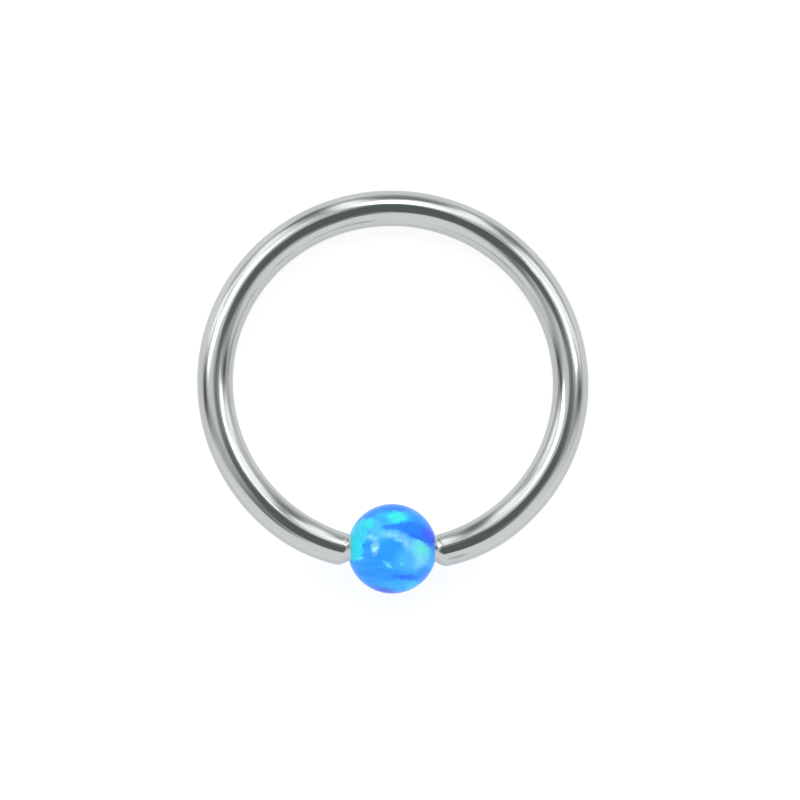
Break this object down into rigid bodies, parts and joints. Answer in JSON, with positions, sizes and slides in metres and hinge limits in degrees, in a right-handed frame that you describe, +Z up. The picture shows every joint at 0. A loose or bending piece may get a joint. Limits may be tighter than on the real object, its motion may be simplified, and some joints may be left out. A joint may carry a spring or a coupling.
{
  "type": "captive bead ring",
  "caption": "Captive bead ring: an open round steel wire ring with domed ends that hold a dimpled blue opal bead, lying on its side.",
  "frame": {"origin": "on the surface the ring lies on, under the middle of its bounding box", "axes": "+Z up, +Y away from the bead, from the gap to the far side of the wire, +X to the right across the ring; the bead spins about a line along X"},
  "size_m": [0.0174, 0.0182, 0.004],
  "materials": {
    "polished_steel": "polished",
    "blue_opal": "polished"
  },
  "bodies": {
    "ring": {"ring": "polished_steel"},
    "bead": {"bead": "blue_opal"}
  },
  "joints": [
    {"name": "bead_spin", "type": "hinge", "parent": "ring", "child": "bead", "pos_m": [0, -0.00711, 0.002], "axis": [1, 0, 0], "continuous": true}
  ]
}
